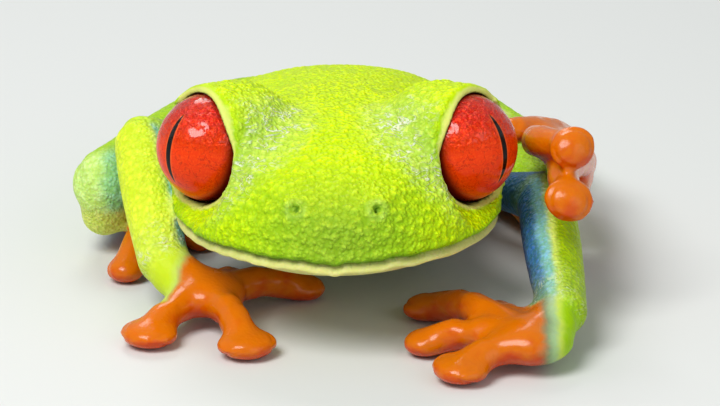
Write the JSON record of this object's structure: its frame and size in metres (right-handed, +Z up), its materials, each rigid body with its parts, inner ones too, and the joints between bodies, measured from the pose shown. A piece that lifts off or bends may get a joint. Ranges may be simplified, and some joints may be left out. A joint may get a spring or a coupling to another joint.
{
  "type": "red-eyed tree frog model",
  "caption": "Still life-size museum model of a red-eyed tree frog sitting up on its hands, head raised, one hind foot lifted beside its eye.",
  "frame": {"origin": "middle of the underside of the box round the whole frog, on the floor it rests on", "axes": "-Y the way the snout points, +Y towards the rump, +X to the frog's own left, +Z up"},
  "size_m": [0.0354, 0.0582, 0.0153],
  "materials": {
    "skin": "moist, finely granular leaf-green frog skin",
    "lip": "smooth cream skin of the lower lip and throat",
    "digits": "wet-looking orange skin of hands, feet and their discs",
    "flank": "smooth blue-violet skin of the upper arms, flanks and hidden sides of the legs",
    "eye": "wet glossy red iris with an upright black slit pupil"
  },
  "bodies": {
    "root": {"eye_left": "eye", "eye_right": "eye", "finger_1_left": "digits", "finger_1_right": "digits", "finger_2_left": "digits", "finger_2_right": "digits", "finger_3_left": "digits", "finger_3_right": "digits", "finger_4_left": "digits", "finger_4_right": "digits", "foot_left": "digits", "foot_right": "digits", "forearm_left": "skin", "forearm_right": "skin", "hand_left": "digits", "hand_right": "digits", "head": "skin", "lower_jaw": "lip", "shank_left": "skin", "shank_right": "skin", "tarsus_left": "skin", "tarsus_right": "skin", "thigh_left": "skin", "thigh_right": "skin", "toe_1_left": "digits", "toe_1_right": "digits", "toe_2_left": "digits", "toe_2_right": "digits", "toe_3_left": "digits", "toe_3_right": "digits", "toe_4_left": "digits", "toe_4_right": "digits", "toe_5_left": "digits", "toe_5_right": "digits", "trunk": "skin", "upper_arm_left": "flank", "upper_arm_right": "flank"}
  },
  "joints": []
}
